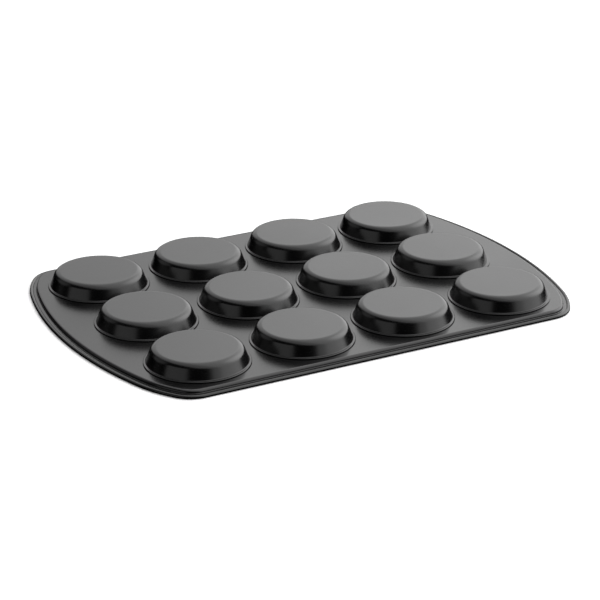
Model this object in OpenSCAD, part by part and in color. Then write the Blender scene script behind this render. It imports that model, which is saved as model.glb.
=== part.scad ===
// Twelve-cup muffin tin, standing upside down on its rolled rim as it is put away to dry.
// The deck is one pressed sheet, each cup is drawn on its own and seamed into a hole of the
// deck, and the edge of the deck is rolled round a reinforcing wire.
// Origin: centre of the tin on the surface it stands on. +X along the long side, +Z up.

/* [Outline] */
// Length over the rolled edge, mm
length = 404; // [390:2:420]
// Radius of the bowed ends, mm
end_r = 350; // [340:5:360]
// Radius that blends an end into its corners, mm
blend_r = 100; // [90:5:110]
// Radius of the four corners, mm
corner_r = 25; // [20:5:30]

/* [Deck] */
// Thickness of the deck sheet, mm
sheet_t = 0.6; // [0.4:0.1:0.7]
// Distance from the rolled edge to the flat part of the deck, mm
rim_w = 7.6; // [7.4:0.1:9]
// Height of the deck above the surface that the rim stands on, mm
deck_h = 5; // [4.8:0.1:6]
// Centreline radius of the crease where the deck turns down into the rim wall, mm
crease_r = 1.8; // [1.4:0.1:2]
// Centreline radius where the rim wall turns out into the flange, mm
foot_r = 0.8; // [0.6:0.1:0.9]
// Slope of the rim wall below the horizontal, degrees
rim_slope = 80; // [70:1:84]

/* [Rolled edge] */
// Diameter of the reinforcing wire, mm
wire_d = 1.7; // [1.6:0.1:2]
// Gap between the wire and the sheet rolled round it, mm
wire_gap = 0.05; // [0.02:0.01:0.1]
// Angle that the sheet is rolled through round the wire, degrees
curl_angle = 330; // [300:5:335]

/* [Cups] */
// Cups along the length
columns = 4; // [2:1:4]
// Cups across the width
rows = 3; // [2:1:3]
// Distance between cup centres along the length, mm
pitch_x = 88.7; // [86:0.1:89.5]
// Distance between cup centres across the width, mm
pitch_y = 87.5; // [86:0.1:88.5]
// Depth of a cup below the deck, mm
cup_depth = 12.5; // [11:0.5:16]
// Thickness of the cup sheet, mm
cup_t = 0.5; // [0.4:0.1:0.6]
// Radius of the flat floor of a cup, mm
floor_r = 30.3; // [29:0.1:31]
// Centreline radius between the floor and the wall of a cup, mm
shoulder_r = 5.5; // [4:0.1:6]
// Draft of the cup wall from the vertical, degrees
cup_draft = 20.4; // [18:0.1:21]

/* [Seams] */
// Outer radius of the folded ring round a cup, mm
ring_r = 40.5; // [40.2:0.1:41.5]
// Centreline radius where the cup wall turns out into the folded ring, mm
ring_foot_r = 0.85; // [0.6:0.05:1]
// Radius of the mouth of a cup, mm
mouth_r = 38.1; // [37.5:0.1:38.3]
// Radius of the lip pressed flat over the cooking side, mm
lip_r = 41.3; // [40:0.1:43]
// Gap between the collar of a cup and the hole in the deck, mm
collar_gap = 0.05; // [0.03:0.01:0.1]

/* [Hidden] */
$fn = 48;
OUTLINE_FN = 240;

CUPS = [for (r = [1:rows], c = [1:columns]) [r, c]];
function cup_name(r, c) = str("cup_row", r, "_col", c);

// Rolled edge: the sheet lies round the wire, so its centreline radius follows from both.
curl_r = wire_d / 2 + wire_gap + sheet_t / 2;
edge_r = curl_r + sheet_t / 2;
tuck_r = 0.2 + sheet_t / 2;

// Rim section, along the centreline of the sheet from the deck to the roll.
rim_turn = crease_r + foot_r;
rim_drop = deck_h - sheet_t / 2 - (edge_r + tuck_r);
rim_wall_l = (rim_drop - rim_turn * (1 - cos(rim_slope))) / sin(rim_slope);
rim_run = rim_turn * sin(rim_slope) + rim_wall_l * cos(rim_slope);
flange_l = rim_w - edge_r - curl_r - tuck_r - rim_run;

// Cup section, along the centreline of the sheet from the middle of the floor to the ring.
fold_r = cup_t / 2;
wall_turn = 90 - cup_draft;
cup_turn = shoulder_r + ring_foot_r;
cup_drop = cup_depth - cup_t / 2 - 3 * fold_r;
cup_wall_l = (cup_drop - cup_turn * (1 - cos(wall_turn))) / sin(wall_turn);
ledge_start = floor_r + cup_turn * sin(wall_turn) + cup_wall_l * cos(wall_turn);
ledge_l = ring_r - 2 * fold_r - ledge_start;
hole_r = mouth_r + cup_t + collar_gap;

// Outline at the rolled edge, as tangent arcs: [centre, radius, first and last direction].
// The arcs meet on the slopes of a 7-24-25 and a 3-4-5 triangle, which keeps every centre
// on a round number. The width follows from the radii.
END_DIR = [0.96, 0.28];
BLEND_DIR = [0.8, 0.6];
end_c = [length / 2 - end_r, 0];
blend_c = end_c + (end_r - blend_r) * END_DIR;
corner_c = blend_c + (blend_r - corner_r) * BLEND_DIR;
half_w = corner_c[1] + corner_r;
END_ARC = [end_c, end_r, [END_DIR[0], -END_DIR[1]], END_DIR];
BLEND_ARC = [blend_c, blend_r, END_DIR, BLEND_DIR];
CORNER_ARC = [corner_c, corner_r, BLEND_DIR, [0, 1]];

// Width of deck that a stretch of rim carries, enough to cover the chord of its arc. Whole
// millimetres, so that the stretches of rim meet exactly.
function arc_lap(arc) = 2 + ceil((arc[1] - rim_w - 1) * (1 - norm(arc[2] + arc[3]) / 2));

// The last point of an arc, moved a distance inside the rolled edge.
function inside(arc, d) = arc[0] + (arc[1] - d) * arc[3];

// A bent strip is drawn as a chain of straights and bends, each one starting where the one
// before it ends. Radii are on the centreline of the sheet, and a positive angle turns left.
module straight(t, l) {
    translate([0, -t / 2]) square([l, t]);
    translate([l, 0]) children();
}

// Half of the plane, on one side of the Y axis.
module half_plane(side, size) {
    translate([side > 0 ? 0 : -size, -size]) square([size, 2 * size]);
}

module bend(t, r, angle) {
    side = sign(angle);
    size = r + t;
    translate([0, side * r]) {
        if (abs(angle) > 180)
            difference() {
                flat_ring(r + t / 2, r - t / 2);
                intersection() {
                    half_plane(-1, size);
                    rotate(angle) half_plane(1, size);
                }
            }
        else
            intersection() {
                flat_ring(r + t / 2, r - t / 2);
                half_plane(1, size);
                rotate(angle) half_plane(-1, size);
            }
        rotate(angle) translate([0, -side * r]) children();
    }
}

module flat_ring(r_out, r_in) {
    difference() {
        circle(r_out);
        if (r_in > 0) circle(r_in);
    }
}

// Sweeps a section round one arc of the outline. Its X is measured from the rolled edge.
module along_arc(arc) {
    reach = 1.2 * arc[1];
    translate(arc[0]) intersection() {
        rotate(180) rotate_extrude($fn = OUTLINE_FN) translate([arc[1], 0]) children();
        translate([0, 0, -1]) linear_extrude(deck_h + 2)
            polygon([[0, 0], reach * arc[2], reach * arc[3]]);
    }
}

// Sweeps a section along the straight side at +Y.
module along_side() {
    translate([-corner_c[0], half_w, 0]) rotate([90, 0, 90])
        linear_extrude(2 * corner_c[0]) children();
}

// Section of the rim: deck, crease, wall, flange, then the roll round the wire.
module rim_section(lap) {
    translate([-rim_w - lap, deck_h - sheet_t / 2])
        straight(sheet_t, lap)
        bend(sheet_t, crease_r, -rim_slope)
        straight(sheet_t, rim_wall_l)
        bend(sheet_t, foot_r, rim_slope)
        straight(sheet_t, flange_l)
        bend(sheet_t, tuck_r, -90)
        bend(sheet_t, curl_r, curl_angle);
}

module rim() {
    for (mx = [0, 1]) mirror([mx, 0, 0]) {
        along_arc(END_ARC) rim_section(arc_lap(END_ARC));
        for (my = [0, 1]) mirror([0, my, 0]) {
            along_arc(BLEND_ARC) rim_section(arc_lap(BLEND_ARC));
            along_arc(CORNER_ARC) rim_section(arc_lap(CORNER_ARC));
        }
    }
    for (my = [0, 1]) mirror([0, my, 0]) along_side() rim_section(2);
}

// Flat middle of the deck, straight-edged: the rim covers what its corners leave out.
module deck_plate() {
    quarter = [for (arc = [END_ARC, BLEND_ARC, CORNER_ARC]) inside(arc, rim_w + 1)];
    translate([0, 0, deck_h - sheet_t]) linear_extrude(sheet_t) polygon(concat(
        quarter,
        [for (i = [2:-1:0]) [-quarter[i][0], quarter[i][1]]],
        [for (p = quarter) -p],
        [for (i = [2:-1:0]) [quarter[i][0], -quarter[i][1]]]
    ));
}

// Places its children at the centre of one cup.
module at_cup(r, c) {
    translate([(c - (columns + 1) / 2) * pitch_x, ((rows + 1) / 2 - r) * pitch_y, 0]) children();
}

module deck_sheet() {
    color("#3a3b3d") difference() {
        union() {
            deck_plate();
            rim();
        }
        for (k = CUPS) at_cup(k[0], k[1])
            translate([0, 0, deck_h - sheet_t - 1]) cylinder(h = sheet_t + 2, r = hole_r);
    }
}

module wire_section() {
    translate([-edge_r, edge_r]) circle(wire_d / 2);
}

// Closed loop of wire inside the rolled edge.
module rim_wire() {
    color("#b4b6b8") {
        for (mx = [0, 1]) mirror([mx, 0, 0]) {
            along_arc(END_ARC) wire_section();
            for (my = [0, 1]) mirror([0, my, 0]) {
                along_arc(BLEND_ARC) wire_section();
                along_arc(CORNER_ARC) wire_section();
            }
        }
        for (my = [0, 1]) mirror([0, my, 0]) along_side() wire_section();
    }
}

// Drawn cup: floor, shoulder and wall, a folded ring that bears on the outside of the deck,
// a collar through the hole, and a lip pressed flat over the cooking side.
module cup() {
    color("#404143") translate([0, 0, deck_h]) rotate_extrude($fn = OUTLINE_FN / 2)
        translate([0, cup_depth - cup_t / 2])
        straight(cup_t, floor_r)
        bend(cup_t, shoulder_r, -wall_turn)
        straight(cup_t, cup_wall_l)
        bend(cup_t, ring_foot_r, wall_turn)
        straight(cup_t, ledge_l)
        bend(cup_t, fold_r, -180)
        straight(cup_t, ring_r - 2 * fold_r - mouth_r - cup_t)
        bend(cup_t, fold_r, 90)
        straight(cup_t, sheet_t)
        bend(cup_t, fold_r, 90)
        straight(cup_t, lip_r - mouth_r - cup_t);
}

deck_sheet();
rim_wire();
for (k = CUPS)
    at_cup(k[0], k[1]) cup();
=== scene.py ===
import math

import bpy
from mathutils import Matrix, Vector
from mathutils.geometry import delaunay_2d_cdt


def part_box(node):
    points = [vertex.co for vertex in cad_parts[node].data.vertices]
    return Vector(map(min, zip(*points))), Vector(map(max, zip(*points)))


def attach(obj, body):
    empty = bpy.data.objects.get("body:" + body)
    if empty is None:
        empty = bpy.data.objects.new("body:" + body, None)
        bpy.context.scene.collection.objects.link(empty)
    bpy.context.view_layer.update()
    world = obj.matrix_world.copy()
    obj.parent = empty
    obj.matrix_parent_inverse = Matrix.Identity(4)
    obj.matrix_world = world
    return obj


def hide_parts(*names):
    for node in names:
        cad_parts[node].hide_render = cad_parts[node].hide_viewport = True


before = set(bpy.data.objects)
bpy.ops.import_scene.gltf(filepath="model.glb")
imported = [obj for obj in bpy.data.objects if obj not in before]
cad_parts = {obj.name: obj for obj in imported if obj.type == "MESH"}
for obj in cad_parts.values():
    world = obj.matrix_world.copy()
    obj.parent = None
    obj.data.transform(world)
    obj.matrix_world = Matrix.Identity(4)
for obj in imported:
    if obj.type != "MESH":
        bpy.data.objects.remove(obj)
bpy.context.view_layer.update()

scene = bpy.context.scene
deck_low, deck_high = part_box("deck_sheet")


# ---- Camera ------------------------------------------------------------------------------
# Stands to the left of the long front side and looks down on the tin through a long lens,
# so that the rows of cups hardly narrow towards the back.
CAMERA_AZIMUTH = math.radians(-28.89)
CAMERA_ELEVATION = math.radians(22.27)
CAMERA_DISTANCE = 1.934
CAMERA_TARGET = Vector((-0.0089, -0.0198, deck_high.z + 0.00026))

camera_back = Vector((
    math.sin(CAMERA_AZIMUTH) * math.cos(CAMERA_ELEVATION),
    -math.cos(CAMERA_AZIMUTH) * math.cos(CAMERA_ELEVATION),
    math.sin(CAMERA_ELEVATION),
))
camera_data = bpy.data.cameras.new("studio_camera")
camera_data.lens = 147.6
camera_data.sensor_width = 36.0
camera = bpy.data.objects.new("studio_camera", camera_data)
camera.rotation_mode = "QUATERNION"
camera.location = CAMERA_TARGET + camera_back * CAMERA_DISTANCE
camera.rotation_quaternion = camera_back.to_track_quat("Z", "Y")
camera_data.clip_start, camera_data.clip_end = 0.1, 50.0
scene.collection.objects.link(camera)
scene.camera = camera


# ---- Studio ------------------------------------------------------------------------------
# A white table under one very large soft light that hangs over the back and the right of the
# table. The room is dark low down on the near side, apart from a dim window on the left.
# Directions are given as (right, back, up), as the camera sees them.
LIGHT_FROM = (0.758, 0.379, 0.531)
# Radiance of the big soft light against the cosine of the angle from its brightest part.
SOFT_LIGHT = ((0.02, 0.0), (0.10, 0.95), (0.31, 1.30), (0.48, 1.35), (0.52, 1.75), (0.565, 2.25),
              (0.80, 2.55), (0.90, 3.0), (0.965, 4.4), (1.0, 4.8))
BRIGHTEST = 5.0
NEAR_EDGE = (0.72, 0.86)
WINDOW_NEAR, WINDOW_FAR = math.radians(19), math.radians(74)
WINDOW_SIDE_BLUR = 0.05
WINDOW_HEAD = (0.42, 0.50)
WINDOW_RADIANCE = 0.72
FILL_FROM = (-0.87, 0.25, 0.42)
FILL_EDGE = (0.90, 0.985)
FILL_RADIANCE = 0.40
ROOM_RADIANCE = 0.01
TABLE_REACH = 6.0
TABLE_WHITE = (0.86, 0.86, 0.86, 1.0)
TABLE_GLOW = 0.22
WHITE = (1.0, 1.0, 1.0, 1.0)

scene.view_settings.view_transform = "Standard"
scene.view_settings.look = "None"

to_right = Vector((math.cos(CAMERA_AZIMUTH), math.sin(CAMERA_AZIMUTH), 0.0))
to_back = Vector((-math.sin(CAMERA_AZIMUTH), math.cos(CAMERA_AZIMUTH), 0.0))
to_zenith = Vector((0.0, 0.0, 1.0))

world = bpy.data.worlds.new("studio_light")
world.use_nodes = True
scene.world = world
nodes, links = world.node_tree.nodes, world.node_tree.links
nodes.clear()
world_out = nodes.new("ShaderNodeOutputWorld")
background = nodes.new("ShaderNodeBackground")
direction = nodes.new("ShaderNodeTexCoord").outputs["Generated"]


def along(right, back, up):
    """How far a direction points along the given one, from -1 to 1."""
    axis = to_right * right + to_back * back + to_zenith * up
    dot = nodes.new("ShaderNodeVectorMath")
    dot.operation = "DOT_PRODUCT"
    dot.inputs[1].default_value = axis.normalized()
    links.new(direction, dot.inputs[0])
    return dot.outputs["Value"]


def soft_step(value, start, end, low=0.0, high=1.0):
    step = nodes.new("ShaderNodeMapRange")
    step.interpolation_type = "SMOOTHSTEP"
    step.inputs["From Min"].default_value, step.inputs["From Max"].default_value = start, end
    step.inputs["To Min"].default_value, step.inputs["To Max"].default_value = low, high
    links.new(value, step.inputs["Value"])
    return step.outputs["Result"]


def combine(operation, *values):
    """The product or the sum of several numbers or sockets."""
    result = values[0]
    for value in values[1:]:
        maths = nodes.new("ShaderNodeMath")
        maths.operation = operation
        for socket, term in zip(maths.inputs, (result, value)):
            if isinstance(term, (int, float)):
                socket.default_value = term
            else:
                links.new(term, socket)
        result = maths.outputs["Value"]
    return result


soft_light = nodes.new("ShaderNodeValToRGB")
soft_light.color_ramp.interpolation = "LINEAR"
while len(soft_light.color_ramp.elements) < len(SOFT_LIGHT):
    soft_light.color_ramp.elements.new(0.5)
for stop, (place, radiance) in zip(soft_light.color_ramp.elements, SOFT_LIGHT):
    stop.position = place
    stop.color = (radiance / BRIGHTEST,) * 3 + (1.0,)
links.new(along(*LIGHT_FROM), soft_light.inputs["Fac"])
near_edge = soft_step(along(0.0, -1.0, 0.0), *NEAR_EDGE, 1.0, 0.0)
key_light = combine("MULTIPLY", soft_light.outputs["Color"], BRIGHTEST, near_edge)

past_near_side = along(-math.cos(WINDOW_NEAR), math.sin(WINDOW_NEAR), 0.0)
past_far_side = along(-math.cos(WINDOW_FAR), math.sin(WINDOW_FAR), 0.0)
window = combine(
    "MULTIPLY",
    soft_step(past_near_side, 0.0, WINDOW_SIDE_BLUR),
    soft_step(past_far_side, -WINDOW_SIDE_BLUR, 0.0, 1.0, 0.0),
    soft_step(along(0.0, 0.0, 1.0), *WINDOW_HEAD, 1.0, 0.0),
    WINDOW_RADIANCE,
)

left_fill = soft_step(along(*FILL_FROM), *FILL_EDGE, 0.0, FILL_RADIANCE)
radiance = combine("ADD", key_light, window, left_fill, ROOM_RADIANCE)
links.new(radiance, background.inputs["Strength"])

# Past the edge of the table the camera sees a plain white wall, which gives no light.
white_wall = nodes.new("ShaderNodeBackground")
white_wall.inputs["Color"].default_value = WHITE
wall_or_light = nodes.new("ShaderNodeMixShader")
links.new(nodes.new("ShaderNodeLightPath").outputs["Is Camera Ray"], wall_or_light.inputs["Fac"])
links.new(background.outputs["Background"], wall_or_light.inputs[1])
links.new(white_wall.outputs["Background"], wall_or_light.inputs[2])
links.new(wall_or_light.outputs["Shader"], world_out.inputs["Surface"])


def new_material(name):
    material = bpy.data.materials.new(name)
    material.use_nodes = True
    return material, material.node_tree.nodes, material.node_tree.links


table_mesh = bpy.data.meshes.new("table")
table_mesh.from_pydata(
    [(x * TABLE_REACH, y * TABLE_REACH, 0.0) for x, y in ((-1, -1), (1, -1), (1, 1), (-1, 1))],
    [], [(0, 1, 2, 3)],
)
table = bpy.data.objects.new("table", table_mesh)
scene.collection.objects.link(table)
table_paint, nodes, links = new_material("table_paint")
table_shader = nodes["Principled BSDF"]
table_shader.inputs["Base Color"].default_value = TABLE_WHITE
table_shader.inputs["Roughness"].default_value = 0.9
table_shader.inputs["Specular IOR Level"].default_value = 0.0
table_shader.inputs["Emission Color"].default_value = WHITE
table_shader.inputs["Emission Strength"].default_value = TABLE_GLOW
unseen = nodes.new("ShaderNodeEmission")
unseen.inputs["Strength"].default_value = 0.0
seen_in_gloss = nodes.new("ShaderNodeMixShader")
links.new(nodes.new("ShaderNodeLightPath").outputs["Is Glossy Ray"], seen_in_gloss.inputs["Fac"])
links.new(table_shader.outputs["BSDF"], seen_in_gloss.inputs[1])
links.new(unseen.outputs["Emission"], seen_in_gloss.inputs[2])
links.new(seen_in_gloss.outputs["Shader"], nodes["Material Output"].inputs["Surface"])
table_mesh.materials.append(table_paint)


# ---- Rim wire ----------------------------------------------------------------------------
# One closed loop of drawn steel wire. The edge of the deck is rolled round it, so only a
# glint of it can show through the gap of the roll.
WIRE_DARK, WIRE_LIGHT = (0.30, 0.30, 0.31, 1.0), (0.52, 0.53, 0.54, 1.0)
WIRE_ROUGHNESS = (0.28, 0.46)
DRAWING_MARKS_PER_METRE = 900.0


def metal_noise(nodes, links, detail):
    """Noise that is fixed to the metal. Its scale is in cells per metre."""
    noise = nodes.new("ShaderNodeTexNoise")
    noise.inputs["Detail"].default_value = detail
    links.new(nodes.new("ShaderNodeTexCoord").outputs["Object"], noise.inputs["Vector"])
    return noise


wire_steel, nodes, links = new_material("drawn_steel_wire")
shader = nodes["Principled BSDF"]
shader.inputs["Metallic"].default_value = 1.0
tone = nodes.new("ShaderNodeValToRGB")
tone.color_ramp.elements[0].color, tone.color_ramp.elements[1].color = WIRE_DARK, WIRE_LIGHT
drawing_marks = metal_noise(nodes, links, 4.0)
drawing_marks.inputs["Scale"].default_value = DRAWING_MARKS_PER_METRE
links.new(drawing_marks.outputs["Fac"], tone.inputs["Fac"])
links.new(tone.outputs["Color"], shader.inputs["Base Color"])
wear = nodes.new("ShaderNodeMapRange")
wear.inputs["To Min"].default_value, wear.inputs["To Max"].default_value = WIRE_ROUGHNESS
links.new(drawing_marks.outputs["Fac"], wear.inputs["Value"])
links.new(wear.outputs["Result"], shader.inputs["Roughness"])
rim_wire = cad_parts["rim_wire"]
rim_wire.data.materials.clear()
rim_wire.data.materials.append(wire_steel)


# ---- Deck sheet --------------------------------------------------------------------------
# One pressed steel sheet with a baked black non-stick coating. Its edge turns down in a
# short steep wall, runs out as a narrow flange, and is rolled round the wire.
SHEET = 0.0006
RIM_WIDTH = 0.0076
CREASE_R, FOOT_R, RIM_SLOPE = 0.0018, 0.0008, 80
WIRE_R, WIRE_GAP = 0.00085, 0.00005
TUCK_INNER_R = 0.0002
CURL_ANGLE = 330
END_R, BLEND_R, CORNER_R = 0.350, 0.100, 0.025
END_SLOPE, BLEND_SLOPE = math.atan2(7, 24), math.atan2(3, 4)
DECK_LAP = 0.002
END_STEPS, BLEND_STEPS, CORNER_STEPS, LONG_SIDE_STEPS = 16, 12, 22, 12
HOLE_R = 0.03865
HOLE_STEPS = 96
BEND_INSET = 0.0004
CUT_ROUNDING = 0.00008
SAME_POINT = 1e-6
SHARP_FROM = 35
FACES_WITHOUT_HOLES, MERGE_WITHIN = 5, 1e-9
COATING_IOR = 1.5
COATING_ROUGHNESS = 0.20
COATING_DARK, COATING_LIGHT = (0.0007, 0.0007, 0.0008, 1.0), (0.0015, 0.0015, 0.0017, 1.0)
PEEL_PER_METRE, DRIFT_PER_METRE = 600.0, 14.0
PEEL_DEPTH, PEEL_STRENGTH = 0.000012, 0.35
PEEL_GLOSS, DRIFT_GLOSS = 0.05, 0.025
deck_height = deck_high.z


def bent_sheet(start, thickness, moves, bend_step):
    """Both faces of a sheet that runs through straights and bends, as one line of points.

    moves are ("straight", length) or ("bend", centreline radius, degrees to the left). The
    line goes out along the left face, round the cut end, and back along the right face.
    """
    place, heading = Vector(start), 0.0
    stations = [(place.copy(), heading)]
    for kind, size, *turn in moves:
        if kind == "straight":
            ahead = Vector((math.cos(heading), math.sin(heading)))
            inset = min(BEND_INSET, size / 4)
            stations += [(place + ahead * d, heading) for d in (inset, size - inset, size)]
            place = place + ahead * size
        else:
            angle = math.radians(turn[0])
            side = math.copysign(1.0, angle)
            centre = place + size * side * Vector((-math.sin(heading), math.cos(heading)))
            steps = max(3, math.ceil(abs(turn[0]) / bend_step))
            for i in range(1, steps + 1):
                now = heading + angle * i / steps
                arm = Vector((math.sin(now), -math.cos(now))) * size * side
                stations.append((centre + arm, now))
            place, heading = stations[-1][0], heading + angle

    def face(side):
        return [
            p + Vector((-math.sin(h), math.cos(h))) * side * thickness / 2 for p, h in stations
        ]

    left, right = face(1), face(-1)
    ahead = Vector((math.cos(heading), math.sin(heading)))
    across = Vector((-ahead.y, ahead.x))
    back_from_end = ahead * CUT_ROUNDING
    half = thickness / 2 - CUT_ROUNDING
    edge = []
    for middle, turns in ((across * half, (60, 30, 0)), (across * -half, (0, -30, -60))):
        for spin in map(math.radians, turns):
            arm = (ahead * math.cos(spin) + across * math.sin(spin)) * CUT_ROUNDING
            edge.append(stations[-1][0] + middle - back_from_end + arm)
    left[-1] = left[-1] - back_from_end
    right[-1] = right[-1] - back_from_end
    line = left + edge + right[::-1]
    return [line[0]] + [p for before, p in zip(line, line[1:]) if (p - before).length > SAME_POINT]


def outline_stations():
    """Points of the rolled edge and the outward direction at each, all the way round."""
    end_c = Vector((deck_high.x - END_R, 0.0))
    blend_c = end_c + (END_R - BLEND_R) * Vector((math.cos(END_SLOPE), math.sin(END_SLOPE)))
    corner_c = blend_c + (BLEND_R - CORNER_R) * Vector(
        (math.cos(BLEND_SLOPE), math.sin(BLEND_SLOPE)))
    quarter = []
    for centre, radius, first, last, steps in (
        (end_c, END_R, 0.0, END_SLOPE, END_STEPS),
        (blend_c, BLEND_R, END_SLOPE, BLEND_SLOPE, BLEND_STEPS),
        (corner_c, CORNER_R, BLEND_SLOPE, math.pi / 2, CORNER_STEPS),
    ):
        for i in range(steps):
            angle = first + (last - first) * i / steps
            out = Vector((math.cos(angle), math.sin(angle)))
            quarter.append((centre + out * radius, out))
    top = Vector((0.0, corner_c.y + CORNER_R))
    up = Vector((0.0, 1.0))
    quarter += [
        (Vector((corner_c.x * (1 - i / LONG_SIDE_STEPS), top.y)), up)
        for i in range(LONG_SIDE_STEPS)
    ]
    half = quarter + [(top, up)] + [
        (Vector((-p.x, p.y)), Vector((-n.x, n.y))) for p, n in quarter[:0:-1]
    ]
    return half + [(-p, -n) for p, n in half]


def build_object(name, vertices, faces, material):
    mesh = bpy.data.meshes.new(name)
    mesh.from_pydata(vertices, [], faces)
    mesh.validate()
    mesh.shade_smooth()
    mesh.set_sharp_from_angle(angle=math.radians(SHARP_FROM))
    mesh.materials.append(material)
    piece = bpy.data.objects.new(name, mesh)
    scene.collection.objects.link(piece)
    return piece


def coating_grain_group():
    """Fine orange peel and slow drift of gloss and tone that a baked coating has."""
    group = bpy.data.node_groups.new("coating_grain", "ShaderNodeTree")
    face = group.interface
    for label, value in (("Peel Scale", PEEL_PER_METRE), ("Drift Scale", DRIFT_PER_METRE),
                         ("Base Roughness", COATING_ROUGHNESS)):
        socket = face.new_socket(name=label, in_out="INPUT", socket_type="NodeSocketFloat")
        socket.default_value = value
    for label, kind in (("Tone", "NodeSocketColor"), ("Roughness", "NodeSocketFloat"),
                        ("Height", "NodeSocketFloat")):
        face.new_socket(name=label, in_out="OUTPUT", socket_type=kind)
    nodes, links = group.nodes, group.links
    given, result = nodes.new("NodeGroupInput"), nodes.new("NodeGroupOutput")
    peel, drift = metal_noise(nodes, links, 4.0), metal_noise(nodes, links, 4.0)
    links.new(given.outputs["Peel Scale"], peel.inputs["Scale"])
    links.new(given.outputs["Drift Scale"], drift.inputs["Scale"])
    slow = nodes.new("ShaderNodeMapRange")
    slow.inputs["From Min"].default_value, slow.inputs["From Max"].default_value = 0.35, 0.65
    slow.inputs["To Min"].default_value = -DRIFT_GLOSS
    slow.inputs["To Max"].default_value = DRIFT_GLOSS
    links.new(drift.outputs["Fac"], slow.inputs["Value"])
    grain = nodes.new("ShaderNodeMath")
    grain.operation = "MULTIPLY_ADD"
    grain.inputs[1].default_value = PEEL_GLOSS
    links.new(peel.outputs["Fac"], grain.inputs[0])
    links.new(slow.outputs["Result"], grain.inputs[2])
    rough = nodes.new("ShaderNodeMath")
    rough.operation = "ADD"
    links.new(grain.outputs["Value"], rough.inputs[0])
    links.new(given.outputs["Base Roughness"], rough.inputs[1])
    tone = nodes.new("ShaderNodeValToRGB")
    ends = zip(tone.color_ramp.elements, (0.3, 0.7), (COATING_DARK, COATING_LIGHT))
    for stop, position, colour in ends:
        stop.position, stop.color = position, colour
    links.new(drift.outputs["Fac"], tone.inputs["Fac"])
    links.new(tone.outputs["Color"], result.inputs["Tone"])
    links.new(rough.outputs["Value"], result.inputs["Roughness"])
    links.new(peel.outputs["Fac"], result.inputs["Height"])
    return group


coating_grain = coating_grain_group()


def coating_material(name):
    material, nodes, links = new_material(name)
    shader = nodes["Principled BSDF"]
    shader.inputs["IOR"].default_value = COATING_IOR
    grain = nodes.new("ShaderNodeGroup")
    grain.node_tree = coating_grain
    grain.inputs["Peel Scale"].default_value = PEEL_PER_METRE
    grain.inputs["Drift Scale"].default_value = DRIFT_PER_METRE
    grain.inputs["Base Roughness"].default_value = COATING_ROUGHNESS
    bump = nodes.new("ShaderNodeBump")
    bump.inputs["Distance"].default_value = PEEL_DEPTH
    bump.inputs["Strength"].default_value = PEEL_STRENGTH
    links.new(grain.outputs["Tone"], shader.inputs["Base Color"])
    links.new(grain.outputs["Roughness"], shader.inputs["Roughness"])
    links.new(grain.outputs["Height"], bump.inputs["Height"])
    links.new(bump.outputs["Normal"], shader.inputs["Normal"])
    return material


deck_coating = coating_material("black_nonstick_on_deck")

curl_r = WIRE_R + WIRE_GAP + SHEET / 2
edge_r = curl_r + SHEET / 2
tuck_r = TUCK_INNER_R + SHEET / 2
rim_turn = CREASE_R + FOOT_R
slope = math.radians(RIM_SLOPE)
rim_drop = deck_height - SHEET / 2 - (edge_r + tuck_r)
rim_wall = (rim_drop - rim_turn * (1 - math.cos(slope))) / math.sin(slope)
rim_run = rim_turn * math.sin(slope) + rim_wall * math.cos(slope)
flange = RIM_WIDTH - edge_r - curl_r - tuck_r - rim_run
rim_section = bent_sheet(
    (-RIM_WIDTH - DECK_LAP, deck_height - SHEET / 2), SHEET,
    (("straight", DECK_LAP), ("bend", CREASE_R, -RIM_SLOPE), ("straight", rim_wall),
     ("bend", FOOT_R, RIM_SLOPE), ("straight", flange), ("bend", tuck_r, -90),
     ("bend", curl_r, CURL_ANGLE)),
    bend_step=9.0,
)

stations = outline_stations()
count, depth = len(stations), len(rim_section)
vertices = [
    (p.x + n.x * u, p.y + n.y * u, z) for p, n in stations for u, z in rim_section
]
faces = []
for i in range(count):
    here, there = i * depth, (i + 1) % count * depth
    faces += [(here + k, here + k + 1, there + k + 1, there + k) for k in range(depth - 1)]

cup_names = [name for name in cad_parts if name.startswith("cup_row")]
hole_rims = []
for name in cup_names:
    low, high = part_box(name)
    middle = (low + high) / 2
    hole_rims.append([
        Vector((middle.x + HOLE_R * math.cos(a), middle.y + HOLE_R * math.sin(a)))
        for a in (2 * math.pi * i / HOLE_STEPS for i in range(HOLE_STEPS))
    ])
border = [Vector(vertices[i * depth][:2]) for i in range(count)]
flat_points, loops = list(border), [list(range(count))]
for rim in hole_rims:
    loops.append(list(range(len(flat_points), len(flat_points) + HOLE_STEPS))[::-1])
    flat_points += rim
plate = delaunay_2d_cdt(flat_points, [], loops, FACES_WITHOUT_HOLES, MERGE_WITHIN)
plate_points, plate_faces, plate_from = plate[0], plate[2], plate[3]
top_of, bottom_of = {}, {}
for i, (point, origin) in enumerate(zip(plate_points, plate_from)):
    if origin and origin[0] < count:
        top_of[i], bottom_of[i] = origin[0] * depth, origin[0] * depth + depth - 1
    else:
        top_of[i], bottom_of[i] = len(vertices), len(vertices) + 1
        vertices += [(point.x, point.y, deck_height), (point.x, point.y, deck_height - SHEET)]
for corner in plate_faces:
    faces.append([top_of[i] for i in corner])
    faces.append([bottom_of[i] for i in reversed(corner)])
back_to = {origin[0]: i for i, origin in enumerate(plate_from) if origin}
for loop in loops[1:]:
    for a, b in zip(loop, loop[1:] + loop[:1]):
        a, b = back_to[a], back_to[b]
        faces.append((top_of[b], top_of[a], bottom_of[a], bottom_of[b]))
deck = build_object("deck_sheet_skin", vertices, faces, deck_coating)
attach(deck, "root")
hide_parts("deck_sheet")


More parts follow.
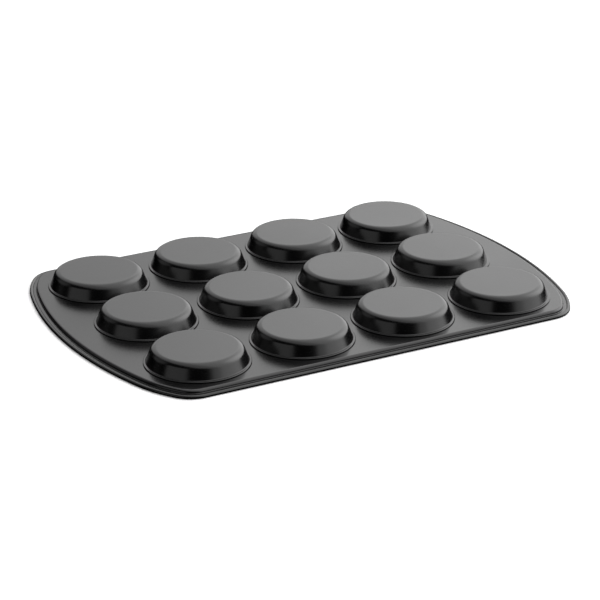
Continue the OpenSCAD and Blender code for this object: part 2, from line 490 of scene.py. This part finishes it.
# ---- Cups --------------------------------------------------------------------------------
# Each cup is drawn from thinner coated sheet. Its folded ring bears on the outside of the
# deck, its collar goes through the hole, and its lip is pressed flat on the cooking side.
CUP_SHEET = 0.0005
CUP_DRAFT = 20.4
FLOOR_R, SHOULDER_R, RING_FOOT_R = 0.0303, 0.0055, 0.00085
RING_R, MOUTH_R, LIP_R = 0.0405, 0.0381, 0.0413
FOLD_GAP = 0.00002
CUP_SEGMENTS = 160

cup_coating = coating_material("black_nonstick_on_cups")
cup_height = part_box(cup_names[0])[1].z - deck_height
fold_r = (CUP_SHEET + FOLD_GAP) / 2
wall_turn = 90 - CUP_DRAFT
turn = math.radians(wall_turn)
cup_turn = SHOULDER_R + RING_FOOT_R
cup_drop = cup_height - CUP_SHEET - 2 * fold_r
cup_wall = (cup_drop - cup_turn * (1 - math.cos(turn))) / math.sin(turn)
ledge_start = FLOOR_R + cup_turn * math.sin(turn) + cup_wall * math.cos(turn)
fold_centre = RING_R - fold_r - CUP_SHEET / 2
collar_bend = CUP_SHEET / 2
cup_section = bent_sheet(
    (0.0, deck_height + cup_height - CUP_SHEET / 2), CUP_SHEET,
    (("straight", FLOOR_R), ("bend", SHOULDER_R, -wall_turn), ("straight", cup_wall),
     ("bend", RING_FOOT_R, wall_turn), ("straight", fold_centre - ledge_start),
     ("bend", fold_r, -180), ("straight", fold_centre - MOUTH_R - CUP_SHEET),
     ("bend", collar_bend, 90), ("straight", SHEET), ("bend", collar_bend, 90),
     ("straight", LIP_R - MOUTH_R - CUP_SHEET)),
    bend_step=5.0,
)


def turned_cup(name):
    """A cup turned about its own upright axis, with a single point at each pole."""
    low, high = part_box(name)
    middle = (low + high) / 2
    ring = cup_section[1:-1]
    top, bottom = cup_section[0], cup_section[-1]
    vertices = []
    for i in range(CUP_SEGMENTS):
        a = 2 * math.pi * i / CUP_SEGMENTS
        vertices += [(middle.x + r * math.cos(a), middle.y + r * math.sin(a), z) for r, z in ring]
    last = len(ring) - 1
    poles = len(vertices)
    vertices += [(middle.x, middle.y, top[1]), (middle.x, middle.y, bottom[1])]
    faces = []
    for i in range(CUP_SEGMENTS):
        here, there = i * len(ring), (i + 1) % CUP_SEGMENTS * len(ring)
        faces += [(here + k, here + k + 1, there + k + 1, there + k) for k in range(last)]
        faces.append((poles, here, there))
        faces.append((poles + 1, there + last, here + last))
    return build_object(name + "_skin", vertices, faces, cup_coating)


for name in cup_names:
    cup = turned_cup(name)
    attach(cup, "root")
    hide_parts(name)
